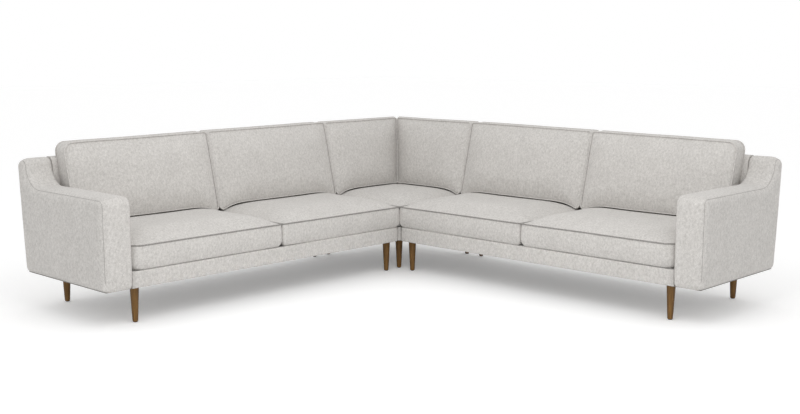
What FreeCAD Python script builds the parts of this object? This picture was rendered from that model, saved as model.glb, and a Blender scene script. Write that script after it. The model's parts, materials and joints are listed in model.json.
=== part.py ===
import FreeCAD
import Part
import math
import os
import re
import Sketcher

from FreeCAD import Placement, Rotation, Vector

# Corner sofa in three modules that bolt together: a square corner, and two runs that end in an arm.
# Millimetres. Z is up and the floor is at zero. The outer back corner is at minus X and plus Y.
# The right run follows the plus Y wall. The left run mirrors it in the corner's diagonal.
# Along a run, places count from the outer back corner. Depths count from the back wall plane.

SIZES = {
    # Overall form
    "run_length": 2730,
    "sofa_depth": 780,
    "module_gap": 6,
    "base_height": 183,
    "apron_height": 81,
    "back_height": 757,
    "back_lean": 31,
    "back_top_thickness": 70,
    "back_seat_offset": 145,
    "back_edge_radius": 28,
    "cover_padding": 22,
    "end_cover_thickness": 9,
    "apron_padding": 18,
    "apron_corner_radius": 24,
    # Arm
    "arm_width": 150,
    "arm_height": 622,
    "arm_overhang": 6,
    "arm_padding": 15,
    "arm_edge_radius": 34,
    "wing_depth": 75,
    "sweep_foot": 105,
    "sweep_radius": 110,
    "sweep_margin": 2,
    "panel_thickness": 12,
    "blocking_thickness": 22,
    # Seat frame
    "rail_thickness": 28,
    "bearer_width": 34,
    "bearer_count": 4,
    "block_leg": 60,
    "deck_thickness": 12,
    "dust_cover_thickness": 2,
    "dust_cover_inset": 12,
    # Back frame
    "post_thickness": 25,
    "top_rail_thickness": 22,
    "mid_rail_level": 470,
    "mid_rail_height": 60,
    "mid_rail_thickness": 16,
    # Webbing
    "strap_width": 50,
    "strap_thickness": 2.5,
    "strap_margin": 6,
    "straps_per_bay": 4,
    "woven_rows": 3,
    "corner_straps_per_bay": 3,
    "corner_woven_rows": 4,
    # Legs and their fixings
    "leg_top_diameter": 44,
    "leg_foot_diameter": 25,
    "leg_clearance": 1,
    "leg_front_inset": 80,
    "inner_leg_offset": 26,
    "end_leg_inset": 56,
    "corner_leg_inset": 88,
    "glide_diameter": 20,
    "glide_height": 3,
    "bolt_diameter": 8,
    "bolt_in_leg": 30,
    "bolt_in_frame": 25,
    "bolt_clearance": 0.25,
    # Plates that join the modules
    "plate_length": 90,
    "plate_width": 40,
    "plate_thickness": 3,
    "plate_place": 430,
    "plate_clearance": 1,
    "screw_diameter": 5,
    "screw_length": 25,
    "screw_head_width": 10,
    "screw_head_height": 3,
    "screw_spread": 29,
    "screw_clearance": 0.1,
    # Loose cushions
    "cushion_clearance": 0.3,
    "cushion_gap": 3,
    "inner_cushion_width": 886,
    "seat_box_height": 119,
    "seat_overhang": 6,
    "seat_crown": 60,
    "seat_crown_reach": 200,
    "seat_corner_radius": 22,
    "seat_arm_radius": 42,
    "back_cushion_height": 440,
    "back_cushion_lift": 22,
    "back_cushion_foot": 114,
    "back_cushion_head": 76,
    "back_cushion_crown": 38,
    "back_crown_reach": 130,
    "back_corner_radius": 28,
    "back_arm_radius": 65,
    "back_arm_gap": 27,
    "welt_inset": 3,
    "side_draw": 0.01,
}

DERIVED = {
    "lean_slope": "back_lean / (back_height - base_height)",
    "edge_loss": "back_edge_radius * lean_slope * (1 + lean_slope / sqrt(1 + lean_slope * lean_slope))",
    "half_run": "(run_length + edge_loss) / 2",
    "run_start": "sofa_depth + module_gap / 2",
    "corner_edge": "sofa_depth - module_gap / 2",
    "arm_inner": "run_length - arm_width",
    "arm_front": "sofa_depth + arm_overhang",
    "deck_top": "base_height + apron_height",
    "front_slope": "(back_seat_offset - back_top_thickness) / (back_height - deck_top)",
    "wing_slope": "(sweep_foot - wing_depth) / (back_height - arm_height)",
    "wing_stretch": "sqrt(1 + wing_slope * wing_slope)",
    "sweep_room": "(back_height - arm_height) * wing_stretch / (wing_stretch - wing_slope)",
    "sweep_fit": "min(sweep_radius; sweep_room - arm_edge_radius - sweep_margin)",
    "deck_bottom": "deck_top - deck_thickness",
    "rail_top": "deck_bottom - 2 * strap_thickness",
    "deck_rear": "back_seat_offset + front_slope * deck_thickness",
    "rail_rear": "back_lean + cover_padding",
    "rail_front": "rail_rear + rail_thickness",
    "apron_back": "sofa_depth - apron_padding",
    "front_rail_back": "apron_back - rail_thickness",
    "frame_start": "run_start + end_cover_thickness",
    "panel_face": "arm_inner + arm_padding",
    "panel_back": "run_length - arm_padding",
    "post_front": "deck_rear - cover_padding",
    "roof_level": "back_height - cover_padding",
    "post_top": "roof_level - top_rail_thickness",
    "inner_leg_line": "run_start + inner_leg_offset",
    "end_leg_line": "arm_inner - end_leg_inset",
    "bearer_pitch": "(end_leg_line - inner_leg_line) / (bearer_count - 1)",
    "rear_leg_line": "rail_rear + rail_thickness / 2",
    "front_leg_line": "sofa_depth - leg_front_inset",
    "corner_leg_line": "sofa_depth - corner_leg_inset",
    "ring_outer": "corner_edge - end_cover_thickness",
    "ring_inner": "ring_outer - rail_thickness",
    "mid_board_start": "(rail_front + ring_inner - rail_thickness) / 2",
    "mid_board_end": "mid_board_start + rail_thickness",
    "row_pitch": "(front_rail_back - post_front) / (woven_rows + 1)",
    "corner_row_pitch": "(ring_inner - post_front) / (corner_woven_rows + 1)",
    "dust_bottom": "base_height - dust_cover_thickness",
    "leg_room": "leg_top_diameter / 2 + leg_clearance",
    "bolt_hole_radius": "bolt_diameter / 2 + bolt_clearance",
    "screw_hole_radius": "screw_diameter / 2 + screw_clearance",
    "plate_bottom": "base_height - plate_thickness",
    "screw_top": "plate_bottom + screw_length",
    "seat_bottom": "deck_top + cushion_clearance",
    "seat_rear": "back_seat_offset + 2 * cushion_clearance",
    "seat_front": "sofa_depth + seat_overhang",
    "seat_welt": "seat_bottom + seat_box_height",
    "cushion_split": "sofa_depth + inner_cushion_width",
    "half_gap": "cushion_gap / 2",
    "back_cushion_base": "seat_welt + back_cushion_lift",
    "back_cushion_top": "back_cushion_base + back_cushion_height",
}

ROD_SIDES = 12
HEAD_SIDES = 6

doc = FreeCAD.newDocument("corner_sofa")
dims = doc.addObject("Spreadsheet::Sheet", "dims")
ALIASES = set(SIZES) | set(DERIVED)


def fill_sheet():
    """Give each size a row: its name, then its cell under the same alias."""
    cells = {name: str(value) for name, value in SIZES.items()}
    cells.update({name: "=" + formula for name, formula in DERIVED.items()})
    for row, (name, text) in enumerate(cells.items(), start=1):
        dims.set(f"A{row}", name)
        dims.set(f"B{row}", text)
        dims.setAlias(f"B{row}", name)
    doc.recompute()


def size(name):
    """The value that the sheet holds now."""
    return float(dims.get(name))


def bound(expression):
    """Point each size that an expression names at its cell."""
    return re.sub(r"[a-z_]+", lambda word: ("dims." if word[0] in ALIASES else "") + word[0], expression)


def bind(thing, **expressions):
    """Tie properties of an object to expressions. Places are written place_x, place_y and place_z."""
    for name, expression in expressions.items():
        path = "Placement.Base." + name[-1] if name.startswith("place_") else name
        thing.setExpression(path, bound(expression))


# Lines of the slanted faces

def outside_back(level):
    """Depth of the outside back at a level: it leans forward towards its foot."""
    return f"(lean_slope * (back_height - ({level})))"


def inside_back(level):
    """Depth of the inside back at a level."""
    return f"(back_top_thickness + front_slope * (back_height - ({level})))"


def wing_line(level, inset):
    """Depth of the wing's front at a level, drawn in square to its slope."""
    return f"(wing_depth + wing_slope * (back_height - ({level})) - ({inset}) * wing_stretch)"


# Makers of simple forms

def draw_outline(sketch, points):
    """Join the points with straight lines and tie each point to its two expressions."""
    count = len(points)
    turn = 2 * math.pi / count
    places = [Vector(200 + 100 * math.cos(turn * i), 200 + 100 * math.sin(turn * i), 0) for i in range(count)]
    for i, place in enumerate(places):
        sketch.addGeometry(Part.LineSegment(place, places[(i + 1) % count]), False)
    for i in range(count):
        sketch.addConstraint(Sketcher.Constraint("Coincident", i, 2, (i + 1) % count, 1))
    for i, (across, up) in enumerate(points):
        for kind, value, expression in (("DistanceX", places[i].x, across), ("DistanceY", places[i].y, up)):
            index = sketch.addConstraint(Sketcher.Constraint(kind, i, 1, value))
            sketch.renameConstraint(index, f"{kind}_{i}")
            sketch.setExpression(f"Constraints.{kind}_{i}", bound(expression))


def outlined_body(name, plane, points):
    """A body with one sketch on one of its own origin planes."""
    body = doc.addObject("PartDesign::Body", name)
    sketch = body.newObject("Sketcher::SketchObject", name + "_outline")
    support = next(item for item in body.Origin.OriginFeatures if item.Role == plane)
    sketch.AttachmentSupport = (support, "")
    sketch.MapMode = "FlatFace"
    draw_outline(sketch, points)
    return body, sketch


def add_pad(body, sketch, length):
    pad = body.newObject("PartDesign::Pad", body.Name + "_pad")
    pad.Profile = sketch
    bind(pad, Length=length)


def side_profile(name, points, start, end):
    """An outline of depths and levels, carried along the right run between two places."""
    body, sketch = outlined_body(name, "YZ_Plane", points)
    add_pad(body, sketch, f"({end}) - ({start})")
    body.Placement = Placement(Vector(), Rotation(Vector(0, 0, 1), 180))
    bind(body, place_x=f"({end}) - half_run", place_y="half_run")
    return body, sketch


def plan_profile(name, points, low, high):
    """An outline of places and depths behind the front plane, carried up between two levels."""
    body, sketch = outlined_body(name, "XY_Plane", points)
    add_pad(body, sketch, f"({high}) - ({low})")
    bind(body, place_x="-half_run", place_y="half_run - sofa_depth", place_z=low)
    return body, sketch


def add_fillet(body, name, edges, radius):
    last = body.Tip
    fillet = body.newObject("PartDesign::Fillet", name)
    fillet.Base = (last, edges)
    bind(fillet, Radius=radius)


def long_edges(body, sketch, corners):
    """Names of the edges that the pad drew out from chosen points of the outline."""
    doc.recompute()
    normal = sketch.Placement.Rotation.multVec(Vector(0, 0, 1))
    spots = [sketch.Placement.multVec(sketch.Geometry[corner].StartPoint) for corner in corners]
    names = []
    for i, edge in enumerate(body.Tip.Shape.Edges, start=1):
        ends = [vertex.Point for vertex in edge.Vertexes]
        for spot in spots:
            if len(ends) == 2 and all((end - spot).cross(normal).Length < 0.001 for end in ends):
                names.append(f"Edge{i}")
    return names


def board(name, along, depth, up):
    """A straight board, from spans along the run, in depth and in level."""
    box = doc.addObject("Part::Box", name)
    bind(box, Length=f"({along[1]}) - ({along[0]})", Width=f"({depth[1]}) - ({depth[0]})")
    bind(box, Height=f"({up[1]}) - ({up[0]})", place_x=f"({along[0]}) - half_run")
    bind(box, place_y=f"half_run - ({depth[1]})", place_z=up[0])
    return box


def rods(name, spots, radius, up):
    """Upright rods of one radius at several spots, with enough sides to pass for round."""
    made = []
    for i, (along, depth) in enumerate(spots):
        rod = doc.addObject("Part::Prism", f"{name}_{i}")
        rod.Polygon = ROD_SIDES
        bind(rod, Circumradius=radius, Height=f"({up[1]}) - ({up[0]})", place_z=up[0])
        bind(rod, place_x=f"({along}) - half_run", place_y=f"half_run - ({depth})")
        made.append(rod)
    return made


def drill(name, spots, radius, up):
    """Rods of one radius as one cutting tool."""
    return group(name, rods(name, spots, radius, up))


def group(name, members):
    """Several separate solids under one name."""
    compound = doc.addObject("Part::Compound", name)
    compound.Links = members
    return compound


def cut(name, base, tool):
    result = doc.addObject("Part::Cut", name)
    result.Base = base
    result.Tool = tool
    return result


def common(name, base, tool):
    result = doc.addObject("Part::Common", name)
    result.Base = base
    result.Tool = tool
    return result


def mirrored(name, source):
    """The left hand of a piece, across the corner's diagonal."""
    mirror = doc.addObject("Part::Mirroring", name)
    mirror.Source = source
    mirror.Normal = Vector(1, 1, 0)
    return mirror


def shaped(name, shape):
    """A piece whose form is made in code from the sheet's sizes."""
    feature = doc.addObject("Part::Feature", name)
    feature.Shape = shape
    return feature


# Where the fixings stand

RUN_LEGS = [
    ("inner_leg_line", "front_leg_line"),
    ("end_leg_line", "front_leg_line"),
    ("inner_leg_line", "rear_leg_line"),
    ("end_leg_line", "rear_leg_line"),
]
CORNER_LEGS = [
    ("rear_leg_line", "rear_leg_line"),
    ("corner_leg_line", "rear_leg_line"),
    ("rear_leg_line", "corner_leg_line"),
    ("corner_leg_line", "corner_leg_line"),
]
RUN_SCREWS = [("sofa_depth + screw_spread", "plate_place")]
RING_SCREWS = [("sofa_depth - screw_spread", "plate_place"), ("plate_place", "sofa_depth - screw_spread")]
BOLT_SPAN = ("base_height - bolt_in_leg", "base_height + bolt_in_frame")
SCREW_SPAN = ("plate_bottom", "screw_top")


# Legs, glides, bolts, joining plates and screws

def leg_shape():
    """A leg turned to a slim taper."""
    foot = Vector(size("leg_foot_diameter") / 2, 0, size("glide_height"))
    top = Vector(size("leg_top_diameter") / 2, 0, size("base_height"))
    side = Part.BezierCurve()
    side.setPoles([foot, top])
    axis_foot = Vector(0, 0, foot.z)
    axis_top = Vector(0, 0, top.z)
    ends = [Part.makeLine(axis_foot, foot), Part.makeLine(top, axis_top), Part.makeLine(axis_top, axis_foot)]
    outline = Part.Wire([ends[0], side.toShape(), ends[1], ends[2]])
    return Part.Face(outline).revolve(Vector(), Vector(0, 0, 1), 360)


def legs(name, spots):
    """Turned legs, one at each spot, drilled from above for their bolts."""
    shape = leg_shape()
    turned = []
    for i, ((along, depth), hole) in enumerate(zip(spots, rods(name + "_hole", spots, "bolt_hole_radius", BOLT_SPAN))):
        leg = shaped(f"{name}_blank_{i}", shape)
        bind(leg, place_x=f"({along}) - half_run", place_y=f"half_run - ({depth})")
        turned.append(cut(f"{name}_{i}", leg, hole))
    return turned


def glides(name, spots):
    """Low round glides under the legs."""
    return rods(name, spots, "glide_diameter / 2", ("0", "glide_height"))


def bolts(name, spots):
    """Bolts that reach up from the legs into the frame."""
    return rods(name, spots, "bolt_diameter / 2", BOLT_SPAN)


def screws(name, spots):
    """Six-sided heads on round shanks, which hold the joining plates up against the frame."""
    shanks = rods(name + "_shank", spots, "screw_diameter / 2", SCREW_SPAN)
    pieces = []
    for i, ((along, depth), shank) in enumerate(zip(spots, shanks)):
        head = doc.addObject("Part::Prism", f"{name}_head_{i}")
        head.Polygon = HEAD_SIDES
        bind(head, Circumradius="screw_head_width / 2", Height="screw_head_height")
        bind(head, place_x=f"({along}) - half_run", place_y=f"half_run - ({depth})")
        bind(head, place_z="plate_bottom - screw_head_height")
        whole = doc.addObject("Part::Fuse", f"{name}_{i}")
        whole.Base = head
        whole.Tool = shank
        pieces.append(whole)
    return pieces


def plate_span(clearance):
    """Ends of the joining plate along the run, and its edges in depth, with room around."""
    along = (f"sofa_depth - plate_length / 2 - {clearance}", f"sofa_depth + plate_length / 2 + {clearance}")
    depth = (f"plate_place - plate_width / 2 - {clearance}", f"plate_place + plate_width / 2 + {clearance}")
    return along, depth


def joining_plate(name):
    """A flat plate under the frame that bridges the gap between two modules."""
    along, depth = plate_span("0")
    blank = board(name + "_blank", along, depth, ("plate_bottom", "base_height"))
    holes = drill(name + "_holes", RUN_SCREWS + RING_SCREWS[:1], "screw_hole_radius", SCREW_SPAN)
    return cut(name, blank, holes)


# Seat frame and webbing of a run

def bearer_line(index):
    return f"(inner_leg_line + bearer_pitch * {index})"


def bearer_edges(index):
    line = bearer_line(index)
    return f"{line} - bearer_width / 2", f"{line} + bearer_width / 2"


def long_rails(name):
    """Front and rear rails, drilled where the rear legs bolt on."""
    along = ("frame_start", "panel_face")
    up = ("base_height", "rail_top")
    front = board(name + "_front", along, ("front_rail_back", "apron_back"), up)
    rear = board(name + "_rear", along, ("rail_rear", "rail_front"), up)
    holes = drill(name + "_bolt_holes", RUN_LEGS[2:], "bolt_hole_radius", BOLT_SPAN)
    return group(name, [front, cut(name + "_rear_drilled", rear, holes)])


def cross_bearers(name):
    """Bearers between the rails. The end pair take the front legs, the first one the plate screws."""
    count = int(size("bearer_count"))
    up = ("base_height", "rail_top")
    depth = ("rail_front", "front_rail_back")
    bearers = [board(f"{name}_{i}", bearer_edges(i), depth, up) for i in range(count)]
    bolt_holes = drill(name + "_bolt_holes", RUN_LEGS[:2], "bolt_hole_radius", BOLT_SPAN)
    screw_holes = drill(name + "_screw_holes", RUN_SCREWS, "screw_hole_radius", SCREW_SPAN)
    solid = group(name + "_blanks", bearers)
    return cut(name, cut(name + "_bolted", solid, bolt_holes), screw_holes), bearers


def on_near_side(index):
    """Whether a bearer carries its block and post on the side away from the corner."""
    return index < size("bearer_count") / 2


def corner_blocks(name):
    """Three-cornered glue blocks between each bearer and the front rail."""
    blocks = []
    for i in range(int(size("bearer_count"))):
        low, high = bearer_edges(i)
        corner, tip = (high, f"{high} + block_leg") if on_near_side(i) else (low, f"{low} - block_leg")
        rail = "sofa_depth - front_rail_back"
        points = [(corner, rail), (tip, rail), (corner, rail + " + block_leg")]
        if not on_near_side(i):
            points.reverse()
        body, _ = plan_profile(f"{name}_{i}", points, "base_height", "rail_top")
        blocks.append(body)
    return group(name, blocks)


def bay_straps(name, bay, count, front):
    """Flat straps from the rear rail to the front one, evenly spread over one bay."""
    gap = f"(({bay[1]}) - ({bay[0]}) - {count} * strap_width) / {count + 1}"
    straps = []
    for i in range(count):
        start = f"({bay[0]}) + {gap} + {i} * ({gap} + strap_width)"
        along = (start, f"{start} + strap_width")
        up = ("rail_top", "rail_top + strap_thickness")
        straps.append(board(f"{name}_{i}", along, ("rail_rear", front), up))
    return straps


def woven_strap(name, crossed, flat_over, start, end, centre, lifts):
    """A strap along the run, flat over the timbers, that passes over and under the crossed straps."""
    thickness = size("strap_thickness")
    margin = size("strap_margin")
    level = size("rail_top")
    path = [(start, level)]
    for box in sorted(crossed + flat_over, key=lambda item: item.Placement.Base.x):
        height = level
        if box in crossed:
            height = level + thickness if lifts else level - thickness
            lifts = not lifts
        near = box.Placement.Base.x
        path += [(near - margin, height), (near + box.Length.Value + margin, height)]
    path.append((end, level))
    path = [(min(max(along, start), end), height) for along, height in path]
    path = [point for i, point in enumerate(path) if i == 0 or point != path[i - 1]]
    front = size("half_run") - centre - size("strap_width") / 2
    under = [Vector(along, front, height) for along, height in path]
    over = [point + Vector(0, 0, thickness) for point in reversed(under)]
    outline = Part.makePolygon(under + over + under[:1])
    return Part.Face(outline).extrude(Vector(0, size("strap_width"), 0))


def weave(name, crossed, timbers, span, first_row, pitch, rows):
    """Rows of woven straps, each starting on the other side of the first crossed strap."""
    doc.recompute()
    start, end = (size(place) - size("half_run") for place in span)
    straps = []
    for row in range(rows):
        centre = size(first_row) + size(pitch) * (row + 1)
        straps.append(woven_strap(name, crossed, timbers, start, end, centre, row % 2 == 0))
    return shaped(name, Part.makeCompound(straps))


# Upholstered covers of a run

def front_apron(name):
    """Padded front band that turns round the module's inner end."""
    rear = "sofa_depth - deck_rear"
    points = [
        ("run_start", "0"),
        ("arm_inner", "0"),
        ("arm_inner", "apron_padding"),
        ("frame_start", "apron_padding"),
        ("frame_start", rear),
        ("run_start", rear),
    ]
    return banded(name, points)


def banded(name, points):
    """A band round the seat, rounded at the first point of its outline."""
    body, sketch = plan_profile(name, points, "base_height", "deck_top")
    add_fillet(body, name + "_corner", long_edges(body, sketch, [0]), "apron_corner_radius")
    return body


BACK_OUTLINE = [
    ("back_lean", "base_height"),
    ("0", "back_height"),
    ("back_top_thickness", "back_height"),
    ("deck_rear", "deck_bottom"),
    ("rail_rear", "deck_bottom"),
    ("rail_rear", "base_height"),
]
BACK_HOLLOW = [
    ("rail_rear", "base_height"),
    (outside_back("roof_level") + " + cover_padding", "roof_level"),
    (inside_back("roof_level") + " - cover_padding", "roof_level"),
    ("post_front", "deck_bottom"),
]


def back_shell(name, start, end, rounded):
    """Padded back, open below and at its far end, with a closed near end."""
    body, sketch = side_profile(name, BACK_OUTLINE, start, end)
    if rounded:
        add_fillet(body, name + "_top", long_edges(body, sketch, [1, 2]), "back_edge_radius")
    hollow = body.newObject("Sketcher::SketchObject", name + "_hollow")
    hollow.AttachmentSupport = sketch.AttachmentSupport
    hollow.MapMode = "FlatFace"
    draw_outline(hollow, BACK_HOLLOW)
    pocket = body.newObject("PartDesign::Pocket", name + "_pocket")
    pocket.Profile = hollow
    pocket.Reversed = True
    bind(pocket, Length=f"({end}) - ({start}) - end_cover_thickness")
    return body


def post_outline():
    """A back post seen from the side: its foot hooks down in front of the rear rail."""
    return [
        ("rail_front", "base_height"),
        ("rail_front", "rail_top"),
        (outside_back("rail_top") + " + cover_padding", "rail_top"),
        (outside_back("post_top") + " + cover_padding", "post_top"),
        (inside_back("post_top") + " - cover_padding", "post_top"),
        ("post_front", "deck_bottom"),
        ("post_front", "base_height"),
    ]


def back_rails(name, start, end):
    """The top rail that caps the posts and the middle rail let into their rear edges."""
    mid_low = "mid_rail_level"
    mid_high = "mid_rail_level + mid_rail_height"
    top_outline = [
        (outside_back("post_top") + " + cover_padding", "post_top"),
        (outside_back("roof_level") + " + cover_padding", "roof_level"),
        (inside_back("roof_level") + " - cover_padding", "roof_level"),
        (inside_back("post_top") + " - cover_padding", "post_top"),
    ]
    mid_outline = [
        (outside_back(mid_low) + " + cover_padding", mid_low),
        (outside_back(mid_high) + " + cover_padding", mid_high),
        (outside_back(mid_high) + " + cover_padding + mid_rail_thickness", mid_high),
        (outside_back(mid_low) + " + cover_padding + mid_rail_thickness", mid_low),
    ]
    top, _ = side_profile(name + "_top", top_outline, start, end)
    middle, _ = side_profile(name + "_middle", mid_outline, start, end)
    return group(name, [top, middle]), middle


def back_posts(name, spans, mid_rail):
    """Posts of one outline, notched for the middle rail."""
    posts = [side_profile(f"{name}_{i}", post_outline(), *span)[0] for i, span in enumerate(spans)]
    return cut(name, group(name + "_blanks", posts), mid_rail)


def run_post_spans():
    """Each post stands against its bearer, on the side where the glue block is."""
    spans = []
    for i in range(int(size("bearer_count"))):
        low, high = bearer_edges(i)
        spans.append((high, f"{high} + post_thickness") if on_near_side(i) else (f"{low} - post_thickness", low))
    return spans


# Arm

def arm_profile(name, inset, start, end):
    """The arm from its side, drawn in by an inset except at its foot, with its sweep up to the wing."""
    top = f"back_height - {inset}"
    pad = f"arm_height - {inset}"
    points = [
        (f"back_lean + {inset}", "base_height"),
        (f"{outside_back(top)} + {inset}", top),
        (wing_line(top, inset), top),
        (wing_line(pad, inset), pad),
        (f"arm_front - {inset}", pad),
        (f"arm_front - {inset}", "base_height"),
    ]
    body, sketch = side_profile(name, points, start, end)
    add_fillet(body, name + "_sweep", long_edges(body, sketch, [3]), f"sweep_fit + {inset}")
    return body, sketch


def arm_cover(name):
    """Padded arm with soft edges, hollow for its frame, and open where the seat rails come in."""
    form, sketch = arm_profile(name + "_form", "0", "arm_inner", "run_length")
    names = long_edges(form, sketch, [0, 1, 2, 4])
    width = size("arm_width")
    foot = size("base_height")
    for i, edge in enumerate(form.Tip.Shape.Edges, start=1):
        box = edge.BoundBox
        on_side = box.XLength < 0.001 and min(abs(box.XMin), abs(box.XMin - width)) < 0.001
        if on_side and box.ZMax > foot + 0.001:
            names.append(f"Edge{i}")
    add_fillet(form, name + "_edges", names, "arm_edge_radius")
    hollow, _ = arm_profile(name + "_hollow", "arm_padding", "panel_face", "panel_back")
    window_depth = ("rail_rear", "apron_back")
    window = board(name + "_window", ("arm_inner", "panel_face"), window_depth, ("base_height", "rail_top"))
    return cut(name, cut(name + "_shell", form, hollow), window)


def arm_panels(name):
    """Side panels of the arm's frame, just inside the padding."""
    inner, _ = arm_profile(name + "_inner", "arm_padding", "panel_face", "panel_face + panel_thickness")
    outer, _ = arm_profile(name + "_outer", "arm_padding", "panel_back - panel_thickness", "panel_back")
    return group(name, [inner, outer])


def arm_blocking(name):
    """Boards that hold the two panels apart: under the arm top, at the front and at the foot."""
    along = ("panel_face + panel_thickness", "panel_back - panel_thickness")
    front = "arm_front - arm_padding"
    top_depth = ("sweep_foot + sweep_radius", front)
    top_up = ("arm_height - arm_padding - blocking_thickness", "arm_height - arm_padding")
    front_depth = (f"{front} - blocking_thickness", front)
    front_up = ("base_height", "arm_height - arm_padding - blocking_thickness")
    foot_depth = ("rail_rear", f"{front} - blocking_thickness")
    foot_up = ("base_height", "base_height + blocking_thickness")
    top = board(name + "_top", along, top_depth, top_up)
    upright = board(name + "_front", along, front_depth, front_up)
    foot = board(name + "_foot", along, foot_depth, foot_up)
    return group(name, [top, upright, foot])


def dust_cover(name, along, depth, leg_spots, plates):
    """Thin cloth under the frame, cut out round the legs and the joining plates."""
    up = ("dust_bottom", "base_height")
    cloth = board(name + "_cloth", along, depth, up)
    windows = []
    for i, (place, line) in enumerate(leg_spots):
        sides = [(f"{centre} - leg_room", f"{centre} + leg_room") for centre in (place, line)]
        windows.append(board(f"{name}_leg_window_{i}", sides[0], sides[1], up))
    for i, spans in enumerate(plates):
        windows.append(board(f"{name}_plate_window_{i}", spans[0], spans[1], up))
    return cut(name, cloth, group(name + "_windows", windows))


# Loose cushions

def inset_corners(corners, distance):
    """Move the sides of a flat four-cornered outline inwards by a distance."""
    moved = []
    for i, corner in enumerate(corners):
        back = (corners[i - 1] - corner).normalize()
        ahead = (corners[(i + 1) % 4] - corner).normalize()
        moved.append(corner + (back + ahead) * (distance / math.sin(back.getAngle(ahead))))
    return moved


def cushion_outline(corners, radii, draw):
    """Points of short chords round each corner, with the sides drawn in by a share of half their length.

    The chords keep their directions whatever the radii, so that the faces between two outlines are flat.
    """
    steps = 3
    points = []
    for i, corner in enumerate(corners):
        back = (corners[i - 1] - corner).normalize()
        ahead = (corners[(i + 1) % 4] - corner).normalize()
        for k in range(steps + 1):
            turn = math.pi / 2 * k / steps
            points.append(corner + back * radii[i] * (1 - math.sin(turn)) + ahead * radii[i] * (1 - math.cos(turn)))
    centre = (corners[0] + corners[1] + corners[2] + corners[3]) * 0.25
    ring = []
    for i in range(4):
        ring += points[i * (steps + 1):(i + 1) * (steps + 1)]
        start = ring[-1]
        end = points[(i + 1) * (steps + 1) % len(points)]
        middle = (start + end) * 0.5
        line = (end - start).normalize()
        inward = centre - middle
        inward = (inward - line * inward.dot(line)).normalize()
        ring.append(middle + inward * draw * (end - start).Length / 2)
    return ring


def flat_faces(points):
    """One face through four points, or two triangles where the four are not in one plane."""
    normal = (points[2] - points[0]).cross(points[3] - points[1]).normalize()
    if abs(normal.dot(points[1] - points[0])) < 0.000001:
        return [Part.Face(Part.makePolygon(points + points[:1]))]
    halves = [points[:3], [points[2], points[3], points[0]]]
    return [Part.Face(Part.makePolygon(half + half[:1])) for half in halves]


def faceted_solid(rings):
    """A solid with flat faces from ring to ring, closed by the first and the last ring."""
    faces = [Part.Face(Part.makePolygon(ring + ring[:1])) for ring in (rings[0], rings[-1])]
    for low, high in zip(rings, rings[1:]):
        for i in range(len(low)):
            faces += flat_faces([low[i - 1], low[i], high[i], high[i - 1]])
    shell = Part.makeShell(faces)
    shell.sewShape()
    return Part.makeSolid(shell)


def crown_sections(crown, reach):
    """Insets and rises from the welt to the middle, steep at the welt and level at the end."""
    steps = 5
    shares = [(k / steps) ** 2 for k in range(1, steps + 1)]
    return [(reach * share, crown * (1 - (1 - share) ** 3)) for share in shares]


def cushion(plane, radii, crown, reach, rise):
    """A boxed cushion: drawn-in sides between two welts, and a crown above the second welt.

    plane gives the four corners at a share of the boxing, and rise points away from the second welt.
    """
    welt = size("welt_inset")
    draw = size("side_draw")
    boxing = [(0, 2 * welt), (0.07, welt), (0.5, 0), (1, welt)]
    rings = [cushion_outline(inset_corners(plane(share), inset), radii, draw) for share, inset in boxing]
    top = plane(1)
    for inset, height in crown_sections(crown, reach):
        corners = [corner + rise * height for corner in inset_corners(top, welt + inset)]
        rings.append(cushion_outline(corners, [radius + inset * 0.2 for radius in radii], draw))
    return faceted_solid(rings)


def seat_cushion(start, end, rear, front, radii):
    """A seat cushion between two places along the right run."""
    half = size("half_run")
    bottom = size("seat_bottom")
    height = size("seat_box_height")

    def plane(share):
        level = bottom + height * share
        spots = [(start, front), (end, front), (end, rear), (start, rear)]
        return [Vector(along - half, half - depth, level) for along, depth in spots]

    return cushion(plane, radii, size("seat_crown"), size("seat_crown_reach"), Vector(0, 0, 1))


def back_cushion(start, end, radii, seat):
    """A back cushion that stands on a seat cushion and leans on the inside back.

    start and end give the place along the run for a depth, so that a mitred end can slant.
    """
    half = size("half_run")
    low = size("back_cushion_base")
    high = size("back_cushion_top")
    slope = size("front_slope")

    def depth_at(level, share):
        rear = size("back_top_thickness") + slope * (size("back_height") - level)
        thickness = size("back_cushion_foot")
        thickness += (size("back_cushion_head") - thickness) * (level - low) / (high - low)
        return rear + 2 * size("cushion_clearance") + thickness * share

    def plane(share):
        corners = []
        for place, level in ((start, low), (end, low), (end, high), (start, high)):
            depth = depth_at(level, share)
            corners.append(Vector(place(depth) - half, half - depth, level))
        return corners

    crown = size("back_cushion_crown")
    whole = cushion(plane, radii, crown, size("back_crown_reach"), Vector(0, -1, 0))
    raised = seat.Shape.translated(Vector(0, 0, size("cushion_clearance")))
    return whole.cut(raised)


def fixed_place(place):
    return lambda depth: place


def run_cushions():
    """The two seat cushions of the right run and the back cushions that stand on them."""
    gap = size("half_gap")
    seam = size("sofa_depth")
    split = size("cushion_split")
    arm = size("arm_inner")
    rear = size("seat_rear")
    front = size("seat_front")
    small = size("seat_corner_radius")
    back_small = size("back_corner_radius")
    inner_seat = seat_cushion(seam + gap, split - gap, rear, front, [small] * 4)
    arm_radii = [small, size("seat_arm_radius"), small, small]
    end_seat = seat_cushion(split + gap, arm - gap, rear, front, arm_radii)
    seats = [shaped("right_seat_cushion_inner", inner_seat), shaped("right_seat_cushion_end", end_seat)]
    arm_side = arm - size("back_arm_gap")
    spans = [(seam + gap, split - gap, back_small), (split + gap, arm_side, size("back_arm_radius"))]
    backs = []
    for seat, (start, end, end_radius) in zip(seats, spans):
        radii = [back_small, back_small, end_radius, back_small]
        name = seat.Name.replace("seat", "back")
        shape = back_cushion(fixed_place(start), fixed_place(end), radii, seat)
        backs.append(shaped(name, shape))
    return seats + backs


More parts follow.
